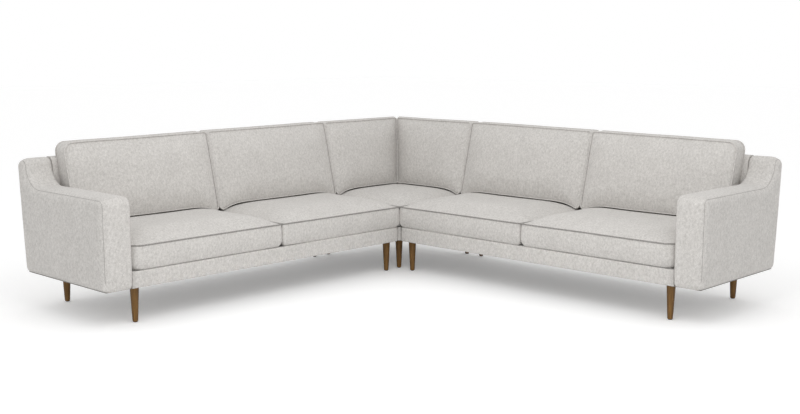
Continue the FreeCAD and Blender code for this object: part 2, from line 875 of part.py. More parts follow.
def corner_cushions():
    """The square corner seat cushion, and the right-hand back cushion with its mitred end."""
    gap = size("half_gap")
    seam = size("sofa_depth")
    small = size("seat_corner_radius")
    rear = size("seat_rear")
    seat = shaped("corner_seat_cushion", seat_cushion(rear, seam - gap, rear, seam - gap, [small] * 4))
    radii = [size("back_corner_radius")] * 4
    shape = back_cushion(lambda depth: depth + 2 * gap, fixed_place(seam - gap), radii, seat)
    return seat, shaped("corner_back_cushion_right", shape)


# Corner module

def seat_ring(name):
    """Four boards round the corner seat and one across its middle, drilled for bolts and screws."""
    up = ("base_height", "rail_top")
    rear = ("rail_rear", "rail_front")
    outer = ("ring_inner", "ring_outer")
    whole = ("rail_rear", "ring_outer")
    between = ("rail_front", "ring_inner")
    boards = [
        board(name + "_rear", whole, rear, up),
        board(name + "_front", whole, outer, up),
        board(name + "_left", rear, between, up),
        board(name + "_right", outer, between, up),
        board(name + "_middle", ("mid_board_start", "mid_board_end"), between, up),
    ]
    bolt_holes = drill(name + "_bolt_holes", CORNER_LEGS[:3], "bolt_hole_radius", BOLT_SPAN)
    screw_holes = drill(name + "_screw_holes", RING_SCREWS, "screw_hole_radius", SCREW_SPAN)
    drilled = cut(name + "_bolted", group(name + "_blanks", boards), bolt_holes)
    return cut(name, drilled, screw_holes), boards[2:]


def leg_block(name):
    """Square block in the ring's front corner that takes the front leg."""
    span = ("2 * corner_leg_line - ring_inner", "ring_inner")
    block = board(name + "_blank", span, span, ("base_height", "rail_top"))
    return cut(name, block, drill(name + "_hole", CORNER_LEGS[3:], "bolt_hole_radius", BOLT_SPAN))


def corner_apron(name):
    """Thin padded band round the corner module's two open ends, rounded where they meet."""
    edge = "sofa_depth - corner_edge"
    inner = "sofa_depth - ring_outer"
    rear = "sofa_depth - deck_rear"
    points = [
        ("corner_edge", edge),
        ("corner_edge", rear),
        ("ring_outer", rear),
        ("ring_outer", inner),
        ("deck_rear", inner),
        ("deck_rear", edge),
    ]
    return banded(name, points)


def corner_half(name, source):
    """The part of a right-hand back piece that lies on its own side of the corner's diagonal."""
    points = [
        ("0", "sofa_depth"),
        ("corner_edge", "sofa_depth - corner_edge"),
        ("corner_edge", "sofa_depth"),
    ]
    side, _ = plan_profile(name + "_side", points, "0", "back_height")
    return common(name, source, side)


def corner_back_cover(name):
    """The right-hand one of two padded backs that meet in a mitre, with rounded outer and top edges.

    Both are rounded as one piece, so that the rounding runs through the mitre.
    """
    shell = back_shell(name + "_shell", "0", "corner_edge", False)
    half = corner_half(name + "_half", shell)
    other = mirrored(name + "_other_half", half)
    fused = doc.addObject("Part::MultiFuse", name + "_fused")
    fused.Shapes = [half, other]
    fused.Refine = True
    doc.recompute()
    radius = size("back_edge_radius")
    top = size("back_height")
    outer = Vector(-size("half_run"), size("half_run"), top)
    chosen = []
    for i, edge in enumerate(fused.Shape.Edges, start=1):
        box = edge.BoundBox
        on_top = box.ZMin > top - 0.001 and edge.Length > 2 * size("back_top_thickness")
        upright = box.ZLength > radius and any((vertex.Point - outer).Length < 0.01 for vertex in edge.Vertexes)
        if on_top or upright and abs(box.XLength - box.YLength) < 0.001:
            chosen.append((i, radius, radius))
    rounded = doc.addObject("Part::Fillet", name + "_rounded")
    rounded.Base = fused
    rounded.Edges = chosen
    return corner_half(name + "_right", rounded)


def corner_back_frame():
    """Rails and posts of both backs of the corner module."""
    rails, mid_rail = back_rails("corner_back_rails_right", "0", "ring_outer")
    half = corner_half("corner_back_rails_half", rails)
    all_rails = group("corner_back_rails", [half, mirrored("corner_back_rails_left", half)])
    spans = [
        ("mid_board_end", "mid_board_end + post_thickness"),
        ("ring_inner - post_thickness", "ring_inner"),
    ]
    posts = back_posts("corner_back_posts_right", spans, mid_rail)
    all_posts = group("corner_back_posts", [posts, mirrored("corner_back_posts_left", posts)])
    return all_rails, all_posts


# Assembly

def build_run():
    """Every piece of the right run, by its name without the side."""
    count = int(size("straps_per_bay"))
    bearers, bearer_boards = cross_bearers("right_cross_bearers")
    crossed = []
    for i in range(int(size("bearer_count")) - 1):
        bay = (bearer_edges(i)[1], bearer_edges(i + 1)[0])
        crossed += bay_straps(f"right_webbing_bay_{i}", bay, count, "apron_back")
    rails, mid_rail = back_rails("right_back_rails", "frame_start", "arm_inner")
    long_span = ("frame_start", "end_leg_line")
    rows = int(size("woven_rows"))
    module = ("run_start + dust_cover_inset", "run_length - dust_cover_inset")
    module_depth = ("back_lean + dust_cover_inset", "sofa_depth - dust_cover_inset")
    pieces = [
        front_apron("right_front_apron"),
        long_rails("right_long_rails"),
        bearers,
        corner_blocks("right_corner_blocks"),
        group("right_webbing_cross", crossed),
        weave("right_webbing_long", crossed, bearer_boards, long_span, "post_front", "row_pitch", rows),
        board("right_seat_deck", ("frame_start", "arm_inner"), ("deck_rear", "apron_back"), ("deck_bottom", "deck_top")),
        rails,
        back_posts("right_back_posts", run_post_spans(), mid_rail),
        back_shell("right_back_cover", "run_start", "arm_inner", True),
        arm_cover("right_arm_cover"),
        arm_panels("right_arm_panels"),
        arm_blocking("right_arm_blocking"),
        dust_cover("right_dust_cover", module, module_depth, RUN_LEGS, [plate_span("plate_clearance")]),
        joining_plate("right_joining_plate"),
    ]
    return pieces + run_cushions()


def build_corner():
    """Every piece of the corner module."""
    count = int(size("corner_straps_per_bay"))
    ring, ring_boards = seat_ring("corner_seat_rails")
    bays = [("post_front", "mid_board_start"), ("mid_board_end", "ring_inner")]
    crossed = []
    for i, bay in enumerate(bays):
        crossed += bay_straps(f"corner_webbing_bay_{i}", bay, count, "ring_outer")
    span = ("rail_rear", "ring_outer")
    rows = int(size("corner_woven_rows"))
    along, depth = plate_span("plate_clearance")
    cloth = ("back_lean + dust_cover_inset", "corner_edge - dust_cover_inset")
    deck = ("deck_rear", "ring_outer")
    rails, posts = corner_back_frame()
    seat, right_back = corner_cushions()
    right_cover = corner_back_cover("corner_back_cover")
    return [
        corner_apron("corner_front_apron"),
        ring,
        leg_block("corner_leg_block"),
        group("corner_webbing_cross", crossed),
        weave("corner_webbing_long", crossed, ring_boards, span, "post_front", "corner_row_pitch", rows),
        board("corner_seat_deck", deck, deck, ("deck_bottom", "deck_top")),
        rails,
        posts,
        right_cover,
        mirrored("corner_back_cover_left", right_cover),
        dust_cover("corner_dust_cover", cloth, cloth, CORNER_LEGS, [(along, depth), (depth, along)]),
        seat,
        right_back,
        mirrored("corner_back_cushion_left", right_back),
    ]


def build_fixings():
    """Fixings of one kind share a name: those of the run, their mirror images and the corner's."""
    nodes = []
    for name, maker, run_spots, corner_spots in (
        ("legs", legs, RUN_LEGS, CORNER_LEGS),
        ("leg_glides", glides, RUN_LEGS, CORNER_LEGS),
        ("leg_bolts", bolts, RUN_LEGS, CORNER_LEGS),
        ("joining_screws", screws, RUN_SCREWS + RING_SCREWS[:1], []),
    ):
        run = group(name + "_run", maker(name + "_of_run", run_spots))
        corner = maker(name + "_of_corner", corner_spots)
        nodes.append(group(name, [run, mirrored(name + "_mirrored", run)] + corner))
    return nodes


def check_all():
    """Stop at any object that failed and any piece without a sound shape."""
    for thing in doc.Objects:
        if {"Invalid", "Error"} & set(thing.State):
            raise RuntimeError(f"{thing.Name} is {thing.State}")


def write(pieces):
    """Write each piece to a file with the name of its label."""
    os.makedirs("parts", exist_ok=True)
    for piece in pieces:
        piece.Label = piece.Name
        if piece.Shape.isNull() or not piece.Shape.isValid():
            raise RuntimeError(f"{piece.Name} has no sound shape")
        piece.Shape.exportStep(f"parts/{piece.Label}.step")
    print(len(pieces), "pieces written")


fill_sheet()
right_pieces = build_run()
left_pieces = [mirrored(piece.Name.replace("right", "left", 1), piece) for piece in right_pieces]
all_pieces = right_pieces + left_pieces + build_corner() + build_fixings()
doc.recompute()
check_all()
write(all_pieces)
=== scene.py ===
# The corner sofa, dressed: cloth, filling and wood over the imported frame
import json
import math

import bmesh
import bpy
import numpy as np
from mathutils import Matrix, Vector, noise


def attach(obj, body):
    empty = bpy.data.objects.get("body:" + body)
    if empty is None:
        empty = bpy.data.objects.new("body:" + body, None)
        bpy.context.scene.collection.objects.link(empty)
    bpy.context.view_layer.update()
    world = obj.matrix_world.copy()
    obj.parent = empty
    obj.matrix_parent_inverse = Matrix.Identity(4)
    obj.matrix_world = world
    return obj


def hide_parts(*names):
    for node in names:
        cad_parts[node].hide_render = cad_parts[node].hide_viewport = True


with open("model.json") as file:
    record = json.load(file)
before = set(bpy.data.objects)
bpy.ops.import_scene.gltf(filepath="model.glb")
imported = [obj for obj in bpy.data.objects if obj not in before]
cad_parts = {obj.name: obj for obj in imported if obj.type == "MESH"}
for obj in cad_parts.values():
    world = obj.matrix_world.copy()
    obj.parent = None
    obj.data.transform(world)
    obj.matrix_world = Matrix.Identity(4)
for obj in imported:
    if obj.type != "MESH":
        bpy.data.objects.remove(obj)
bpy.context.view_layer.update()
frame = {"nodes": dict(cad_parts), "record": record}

# Sizes in millimetres, as in the part's source.
# Places along a run (u) and depths (v) count from the outer back corner, levels (z) from the floor.
DEPTH = 780
GAP = 6
BASE = 183
DECK_TOP = 264
DECK_THICK = 12
BACK_TOP = 757
LEAN = 31
TOP_THICK = 70
SEAT_OFFSET = 145
EDGE = 28
ARM_INNER = 2580
RUN_END = 2730
ARM_TOP = 622
ARM_FRONT = 786
RAIL_INSET = 22
CLEAR = 0.3
HALF_GAP = 1.5

# Loose cushions
SPLIT = 1666
WELT = 3
SEAT_BOX = 119
SEAT_CROWN = 52
SEAT_FILLING = 7
SEAT_REACH = 215
SEAT_PROUD = 6
SEAT_TUCK = 12
BACK_RAISED = 22
BACK_TALL = 440
BACK_THICK_LOW = 114
BACK_THICK_HIGH = 76
BACK_CROWN = 32
BACK_REACH = 140
MITRE_GAP = 3
ARM_CLEARANCE = 27

# Worked out from the sizes above
LEAN_SLOPE = LEAN / (BACK_TOP - BASE)
FRONT_SLOPE = (SEAT_OFFSET - TOP_THICK) / (BACK_TOP - DECK_TOP)
EDGE_LOSS = EDGE * LEAN_SLOPE * (1 + LEAN_SLOPE / math.sqrt(1 + LEAN_SLOPE ** 2))
HALF_RUN = (RUN_END + EDGE_LOSS) / 2
RUN_START = DEPTH + GAP / 2
CORNER_EDGE = DEPTH - GAP / 2
DECK_BOTTOM = DECK_TOP - DECK_THICK
DECK_REAR = SEAT_OFFSET + FRONT_SLOPE * DECK_THICK
RAIL_REAR = LEAN + RAIL_INSET
SEAT_LOW = DECK_TOP + CLEAR
SEAT_WELT = SEAT_LOW + SEAT_BOX
SEAT_REAR = SEAT_OFFSET + 2 * CLEAR
SEAT_FRONT = DEPTH + SEAT_PROUD
BACK_LOW = SEAT_WELT + BACK_RAISED
BACK_HIGH = BACK_LOW + BACK_TALL

UPWARD = Vector((0, 0, 1))
FORWARD = Vector((0, -1, 0))


def place(u, v, z):
    """Millimetres along, deep and up to metres in the row frame."""
    return Vector(((u - HALF_RUN) / 1000, (HALF_RUN - v) / 1000, z / 1000))


def plan_place(z, u, v):
    """place for an outline drawn in plan and carried upward."""
    return place(u, v, z)


def places_of(co):
    """Places along, deep and up of an array of points, in millimetres."""
    return co[:, 0] * 1000 + HALF_RUN, HALF_RUN - co[:, 1] * 1000, co[:, 2] * 1000


def ramp(value, start, length):
    """0 up to the start, 1 from a length further on."""
    return np.clip((value - start) / length, 0, 1)


def hump(value, middle, reach):
    """1 at the middle, 0 at its reach and beyond."""
    return np.clip(1 - ((value - middle) / reach) ** 2, 0, 1)


# Meshes

def make_object(name, points, faces):
    mesh = bpy.data.meshes.new(name)
    mesh.from_pydata([tuple(p) for p in points], [], faces)
    bm = bmesh.new()
    bm.from_mesh(mesh)
    bmesh.ops.recalc_face_normals(bm, faces=bm.faces)
    bm.to_mesh(mesh)
    bm.free()
    for polygon in mesh.polygons:
        polygon.use_smooth = True
    piece = bpy.data.objects.new(name, mesh)
    bpy.context.scene.collection.objects.link(piece)
    return piece


def rings_at(start, rings, count):
    """Vertex numbers of rings that follow each other in a mesh."""
    return [range(start + r * count, start + (r + 1) * count) for r in range(rings)]


def band(rings):
    """Faces between each ring of vertices and the next."""
    faces = []
    for one, other in zip(rings, rings[1:]):
        for k in range(len(one)):
            n = (k + 1) % len(one)
            faces.append((one[k], one[n], other[n], other[k]))
    return faces


def mesh_points(mesh):
    co = np.empty(len(mesh.vertices) * 3)
    mesh.vertices.foreach_get("co", co)
    return co.reshape(-1, 3)


def points_of(piece):
    return mesh_points(piece.data)


def put_points(piece, co):
    piece.data.vertices.foreach_set("co", co.ravel())
    piece.data.update()


def bake(piece):
    """Replace the piece's mesh by what its modifiers make of it."""
    graph = bpy.context.evaluated_depsgraph_get()
    graph.update()
    mesh = bpy.data.meshes.new_from_object(piece.evaluated_get(graph))
    piece.modifiers.clear()
    piece.data = mesh
    for polygon in mesh.polygons:
        polygon.use_smooth = True


def mirror_copy(piece, name):
    """The left-hand twin, across the corner's diagonal."""
    twin = piece.copy()
    twin.data = piece.data.copy()
    twin.name = name
    bpy.context.scene.collection.objects.link(twin)
    co = points_of(twin)
    put_points(twin, np.stack([-co[:, 1], -co[:, 0], co[:, 2]], axis=1))
    twin.data.flip_normals()
    return twin


# Where the noise of each axis is read, how fast it changes and how far it goes, in metres
NOISE_PLACES = (Vector((7.3, 1.9, 4.2)), Vector((31.7, 12.1, 8.8)), Vector((3.3, 45.2, 19.6)))
NOISE_SCALE = 3.1
NOISE_REACH = Vector((0.0004, 0.0004, 0.0018))


def uneven(point):
    """A slow unevenness that neighbours share, so that they stay clear of each other."""
    shift = Vector([noise.noise(point * NOISE_SCALE + spot) for spot in NOISE_PLACES])
    return point + shift * NOISE_REACH


def make_uneven(piece):
    put_points(piece, np.array([uneven(Vector(p)) for p in points_of(piece)]))


# Cushions

# How freely the filling moves a point: not at all, as in the boxing strip, or as in the crowned panel
HELD, BOXED, FREE = 0.0, 0.5, 1.0

# Where the boxing strip's rings lie between the rear seam and the front seam
BOXING_SHARES = (0.9, 0.78, 0.64, 0.5, 0.36, 0.24, 0.15, 0.08, 0.03)

# Up to this share of the thickness the strip is tucked in
TUCK_SHARE = 0.26


def marks(length, first=4.5, growth=1.3, widest=22):
    """Grid lines from edge to edge, close together near both edges."""
    half = [0.0]
    step = first
    while half[-1] + step < length / 2 - step * 0.4:
        half.append(half[-1] + step)
        step = min(step * growth, widest)
    return half + [length / 2] + [length - d for d in reversed(half)]


def inset_corners(corners, distance):
    moved = []
    for i, corner in enumerate(corners):
        back = (corners[i - 1] - corner).normalized()
        ahead = (corners[(i + 1) % 4] - corner).normalized()
        moved.append(corner + (back + ahead) * (distance / 1000 / math.sin(back.angle(ahead))))
    return moved


def rounded(p, q, width, height, radii):
    """Move a grid point of the rectangle so that the rectangle's corners are round."""
    left, low = p < width / 2, q < height / 2
    radius = radii[(0 if left else 1) if low else (3 if left else 2)]
    a = p if left else width - p
    b = q if low else height - q
    if a < radius and b < radius:
        x, y = 1 - a / radius, 1 - b / radius
        a = radius * (1 - x * math.sqrt(1 - y * y / 2))
        b = radius * (1 - y * math.sqrt(1 - x * x / 2))
    return (a if left else width - a), (b if low else height - b)


def bulge(distance, reach):
    return 1 - (1 - min(distance / reach, 1)) ** 3


def boxed_cushion(name, plane, radii, crown, reach, rise, tuck=0):
    """A boxed cushion on a grid: a rear panel, a boxing strip and a crowned front panel.

    plane gives the cushion's four corners at a share of its thickness, 1 being the front.
    Returns the piece, its two seams as loops of vertex numbers, and how free each vertex is.
    """
    front = inset_corners(plane(1), WELT)
    width = ((front[1] - front[0]).length + (front[2] - front[3]).length) * 500
    height = ((front[3] - front[0]).length + (front[2] - front[1]).length) * 500
    us, vs = marks(width), marks(height)
    nu, nv = len(us), len(vs)
    grid = [[rounded(p, q, width, height, radii) for q in vs] for p in us]

    def spot(corners, p, q):
        s, t = p / width, q / height
        low = corners[0].lerp(corners[1], s)
        return low.lerp(corners[3].lerp(corners[2], s), t)

    points = []
    for row in grid:
        for p, q in row:
            lift = crown * bulge(min(p, width - p), reach) * bulge(min(q, height - q), reach)
            points.append(spot(front, p, q) + rise * lift / 1000)
    edge = [(i, 0) for i in range(nu)] + [(nu - 1, j) for j in range(1, nv)]
    edge += [(i, nv - 1) for i in range(nu - 2, -1, -1)] + [(0, j) for j in range(nv - 2, 0, -1)]
    front_loop = [i * nv + j for i, j in edge]
    for share in BOXING_SHARES:
        inset = WELT * abs(2 * share - 1) ** 2.5 + tuck * max(1 - share / TUCK_SHARE, 0) ** 2
        corners = inset_corners(plane(share), inset)
        points += [spot(corners, *grid[i][j]) for i, j in edge]
    rear = inset_corners(plane(0), WELT + tuck)
    rear_start = len(points)
    points += [spot(rear, p, q) for row in grid for p, q in row]
    rear_loop = [rear_start + i * nv + j for i, j in edge]

    faces = []
    for start in (0, rear_start):
        for i in range(nu - 1):
            for j in range(nv - 1):
                a = start + i * nv + j
                faces.append((a, a + 1, a + nv + 1, a + nv))
    strip = rings_at(nu * nv, len(BOXING_SHARES), len(edge))
    faces += band([front_loop, *strip, rear_loop])

    play = np.full(len(points), FREE)
    play[front_loop] = HELD
    play[nu * nv:rear_start] = BOXED
    play[rear_start:] = HELD
    return make_object(name, points, faces), [front_loop, rear_loop], play


def seat_cushion(name, start, end, front, radii, limits):
    def plane(share):
        z = SEAT_LOW + SEAT_BOX * share
        corners = (start, front), (end, front), (end, SEAT_REAR), (start, SEAT_REAR)
        return [place(u, v, z) for u, v in corners]

    made = boxed_cushion(name, plane, radii, SEAT_CROWN, SEAT_REACH, UPWARD, SEAT_TUCK)
    return (*made, limits)


def seat_level(u, v, start, end):
    """Level of a filled seat cushion's crown."""
    across = bulge(min(max(u - start, 0), max(end - u, 0)), SEAT_REACH)
    deep = bulge(min(max(v - SEAT_REAR, 0), max(SEAT_FRONT - v, 0)), SEAT_REACH)
    return SEAT_WELT + (SEAT_CROWN + SEAT_FILLING) * across * deep


# The back cushions' tops sink toward the arms, and their bottoms rest on the seat cushions
DROOP = 0.016
DROOP_START = 900
DROOP_LENGTH = 1600
SEAT_CLEARANCE = 5


def back_cushion(name, start, end, radii, seat_span, limits):
    """A back cushion between two places along the run. A start of None follows the corner's mitre."""
    def plane(share):
        corners = []
        for at, level in ((start, BACK_LOW), (end, BACK_LOW), (end, BACK_HIGH), (start, BACK_HIGH)):
            thinning = (BACK_THICK_HIGH - BACK_THICK_LOW) * (level - BACK_LOW) / (BACK_HIGH - BACK_LOW)
            depth = TOP_THICK + FRONT_SLOPE * (BACK_TOP - level) + 2 * CLEAR
            depth += (BACK_THICK_LOW + thinning) * share
            corners.append(place(depth + MITRE_GAP if at is None else at, depth, level))
        return corners

    made = boxed_cushion(name, plane, radii, BACK_CROWN, BACK_REACH, FORWARD)
    co = points_of(made[0])
    for i, (u, v, level) in enumerate(zip(*places_of(co))):
        share = min(max((level - BACK_LOW) / (BACK_HIGH - BACK_LOW), 0), 1)
        co[i, 2] -= DROOP * share * min(max((u - DROOP_START) / DROOP_LENGTH, 0), 1)
        rest = seat_level(u, v, *seat_span) + SEAT_CLEARANCE
        co[i, 2] += max(rest - BACK_LOW, 0) * (1 - share) ** 6 / 1000
    put_points(made[0], co)
    return (*made, limits)


CLOTH_FRAMES = 20


def add_cloth(piece, play):
    """Make the piece a cloth that air presses outward, held at its seams and its rear panel."""
    group = piece.vertex_groups.new(name="held")
    group.add([int(i) for i in np.flatnonzero(play == HELD)], 1.0, "REPLACE")
    cloth = piece.modifiers.new("Cloth", "CLOTH")
    settings = cloth.settings
    settings.vertex_group_mass = "held"
    settings.use_pressure = True
    settings.uniform_pressure_force = 4
    settings.quality = 5
    settings.mass = 0.3
    settings.tension_stiffness = 12
    settings.compression_stiffness = 12
    settings.shear_stiffness = 6
    settings.bending_stiffness = 0.6
    settings.effector_weights.gravity = 0
    cloth.collision_settings.use_collision = False
    cloth.point_cache.frame_start = 1
    cloth.point_cache.frame_end = CLOTH_FRAMES


def blow_out(made):
    """Where a short cloth simulation takes each piece's points."""
    scene = bpy.context.scene
    for piece, _, play, _ in made:
        add_cloth(piece, play)
    scene.frame_start = 1
    scene.frame_end = CLOTH_FRAMES
    for number in range(1, CLOTH_FRAMES + 1):
        scene.frame_set(number)
    graph = bpy.context.evaluated_depsgraph_get()
    blown = {}
    for piece, _, _, _ in made:
        blown[piece.name] = mesh_points(piece.evaluated_get(graph).to_mesh())
        piece.evaluated_get(graph).to_mesh_clear()
    for piece, _, _, _ in made:
        piece.modifiers.clear()
        piece.vertex_groups.clear()
    scene.frame_set(1)
    return blown


def fill_cushions(made):
    """Blow the panels out between their held seams, then cap how far each point has gone."""
    rest = {piece.name: points_of(piece) for piece, _, _, _ in made}
    blown = blow_out(made)
    for piece, _, play, limits in made:
        start = rest[piece.name]
        move = blown[piece.name] - start
        caps = limits(start, play)
        far = np.linalg.norm(move, axis=1)
        capped = caps * np.tanh(far / np.maximum(caps, 1e-6))
        scale = np.where(far > 1e-9, capped / np.maximum(far, 1e-9), 0)
        put_points(piece, start + move * scale[:, None])


# How far the filling may move a point, in metres. Sides lie against their neighbours.
SEAT_TOP_PLAY = 0.008
SEAT_FRONT_PLAY = 0.0045
SEAT_SIDE_PLAY = 0.0005
BACK_FRONT_PLAY = 0.012
BACK_LOOSE_PLAY = 0.004
BACK_SIDE_PLAY = 0.0007

# Where a seat's front begins to swell beside its ends, and over what length, in millimetres
SWELL_START = 3
SWELL_LENGTH = 45

# How near its top and its free end a back cushion's strip is loose, in millimetres
LOOSE_TOP = 20
LOOSE_END = 25


def seat_limits(start, end):
    def limits(co, play):
        u, v, _ = places_of(co)
        swell = SEAT_FRONT_PLAY * ramp(np.minimum(u - start, end - u), SWELL_START, SWELL_LENGTH)
        strip = np.where(v > DEPTH, swell + SEAT_SIDE_PLAY, SEAT_SIDE_PLAY)
        return np.where(play == BOXED, strip, np.where(play == FREE, SEAT_TOP_PLAY, 0.0))

    return limits


def back_limits(loose_from):
    def limits(co, play):
        u, _, z = places_of(co)
        loose = (z > BACK_HIGH - LOOSE_TOP) | (u > loose_from)
        strip = np.where(loose, BACK_LOOSE_PLAY, BACK_SIDE_PLAY)
        return np.where(play == BOXED, strip, np.where(play == FREE, BACK_FRONT_PLAY, 0.0))

    return limits


def tube(name, paths, radius, sides=8, closed=True):
    """A round cord along each path, as one mesh."""
    points, faces = [], []
    for path in paths:
        count = len(path)
        rings = rings_at(len(points), count, sides)
        for k, here in enumerate(path):
            ahead = path[(k + 1) % count] if closed or k < count - 1 else here
            behind = path[k - 1] if closed or k > 0 else here
            line = (ahead - behind).normalized()
            side = line.orthogonal() if k == 0 else (side - line * side.dot(line))
            side.normalize()
            other = line.cross(side)
            for m in range(sides):
                turn = 2 * math.pi * m / sides
                points.append(here + (side * math.cos(turn) + other * math.sin(turn)) * radius)
        if closed:
            faces += band(rings + rings[:1])
        else:
            faces += band(rings) + [tuple(rings[0]), tuple(reversed(rings[-1]))]
    return make_object(name, points, faces)


# Radius of the piping and how far its middle stands out from the seam, in metres
PIPING_RADIUS = 0.0035
PIPING_OUT = 0.0009
SEAT_PIPING_RISE = 0.0006
BACK_PIPING_RISE = 0.0038


def piping(piece, loops, name, rise):
    """Covered cord along a cushion's seams. rise moves it off the front panel's seam."""
    co = points_of(piece)
    paths = []
    for loop, side in zip(loops, (1, -1)):
        line = [Vector(co[i]) for i in loop]
        centre = sum(line, Vector()) / len(line)
        path = []
        for k, here in enumerate(line):
            along = (line[(k + 1) % len(line)] - line[k - 1]).normalized()
            out = here - centre
            out -= along * out.dot(along)
            out.normalize()
            path.append(here + out * PIPING_OUT + rise * side)
        paths.append(path)
    return tube(name, paths, PIPING_RADIUS)


def finish_cushion(piece):
    crease = piece.modifiers.new("Smooth", "SUBSURF")
    crease.levels = 1
    crease.render_levels = 1
    bake(piece)


# Covers of the frame: an outline with rounded corners, carried along and closed with soft ends

ARC_STEP = 0.2
RIM_STEPS = 5


def round_outline(points, radii, step=30):
    """Points of a closed outline whose corners have these radii, with no long gaps between points."""
    line = []
    for i, corner in enumerate(points):
        here = np.array(corner, float)
        if radii[i] == 0:
            line.append(here)
            continue
        back = np.array(points[i - 1], float) - here
        ahead = np.array(points[(i + 1) % len(points)], float) - here
        back /= np.linalg.norm(back)
        ahead /= np.linalg.norm(ahead)
        half = math.acos(max(-1, min(1, float(back @ ahead)))) / 2
        reach = radii[i] / math.tan(half)
        middle = here + (back + ahead) / np.linalg.norm(back + ahead) * radii[i] / math.sin(half)
        first = here + back * reach - middle
        last = here + ahead * reach - middle
        turn = math.pi - 2 * half
        parts = max(2, math.ceil(turn / ARC_STEP))
        for k in range(parts + 1):
            share = k / parts
            mix = first * math.sin((1 - share) * turn) + last * math.sin(share * turn)
            line.append(middle + mix / math.sin(turn))
    spaced = []
    for i, here in enumerate(line):
        ahead = line[(i + 1) % len(line)]
        parts = max(1, math.ceil(np.linalg.norm(ahead - here) / step))
        spaced += [here + (ahead - here) * k / parts for k in range(parts)]
    return np.array(spaced)


def outward(line):
    """Unit normals of a closed outline, pointing out."""
    ahead = np.roll(line, -1, axis=0) - line
    back = line - np.roll(line, 1, axis=0)
    ahead /= np.linalg.norm(ahead, axis=1)[:, None]
    back /= np.linalg.norm(back, axis=1)[:, None]
    along = ahead + back
    along /= np.linalg.norm(along, axis=1)[:, None]
    normal = np.stack([along[:, 1], -along[:, 0]], axis=1)
    area = np.sum(line[:, 0] * np.roll(line[:, 1], -1) - np.roll(line[:, 0], -1) * line[:, 1])
    return normal if area > 0 else -normal


def rim(end, radius, inward):
    """Places along a soft rim and how far the outline is drawn in there, ending at the end face."""
    turns = [math.pi / 2 * k / RIM_STEPS for k in range(RIM_STEPS + 1)]
    return [(end + inward * radius * (1 - math.sin(turn)), radius * (1 - math.cos(turn))) for turn in turns]


def padded_prism(name, line, where, start, end, rims, step, soften=None):
    """Carry an outline between two places. rims are the radii of its soft rims at the two ends."""
    normal = outward(line)
    soften = np.ones(len(line)) if soften is None else soften
    first = rim(start, rims[0], 1)
    last = rim(end, rims[1], -1)
    low, high = first[0][0], last[0][0]
    between = max(1, math.ceil((high - low) / step))
    rows = first[::-1] + [(low + (high - low) * k / between, 0) for k in range(1, between)] + last
    points = []
    for at, drawn in rows:
        drawn_in = line - normal * (drawn * soften)[:, None]
        points += [where(at, a, b) for a, b in drawn_in]
    rings = rings_at(0, len(rows), len(line))
    return make_object(name, points, [tuple(rings[0]), tuple(rings[-1])] + band(rings))


BACK_LINE = round_outline(
    [
        (LEAN, BASE),
        (0, BACK_TOP),
        (TOP_THICK, BACK_TOP),
        (DECK_REAR, DECK_BOTTOM),
        (RAIL_REAR, DECK_BOTTOM),
        (RAIL_REAR, BASE),
    ],
    [3, EDGE, EDGE, 0, 0, 3],
)

# The arm: depths of its wing, and how its padding is rounded
WING_TOP = 75
WING_FOOT = 105
WING_END = 200
ARM_EDGE = 34
ARM_RIMS = (22, 42)
ARM_STEP = 14
UNDERSIDE_HARDNESS = 0.62
REAR_HARDNESS = 0.5

# How far the padding stands out, in metres
VOXEL = 0.007
SIDE_FULLNESS = 0.003
OUTWARD_LEAN = 0.008
FRONT_FULLNESS = 0.007
TOP_FULLNESS = 0.0015
FOOT_DROP = 0.003

# Where it stands out, in millimetres: the middle and reach of a hump, or the start and length of a ramp
SIDE_LEVELS = (400, 250)
SIDE_DEPTHS = (400, 400)
LEAN_LEVELS = (BASE, 500)
FRONT_DEPTHS = (700, 80)
FRONT_LEVELS = (190, 60)
TOP_START = 230
TOP_END = 760
TOP_EASE = 120
TOP_BAND = 60
FOOT_LEVELS = 215
ARM_LINE = round_outline(
    [
        (LEAN_SLOPE * (BACK_TOP - BASE), BASE),
        (0, BACK_TOP),
        (WING_TOP, BACK_TOP),
        (WING_FOOT, ARM_TOP),
        (ARM_FRONT, ARM_TOP),
        (ARM_FRONT, BASE),
    ],
    [30, 36, 36, 110, 42, 22],
    step=12,
)
ARM_NORMAL = outward(ARM_LINE)
FACING_DOWN = np.clip(-ARM_NORMAL[:, 1], 0, 1)
FACING_REAR = np.clip(-ARM_NORMAL[:, 0], 0, 1)


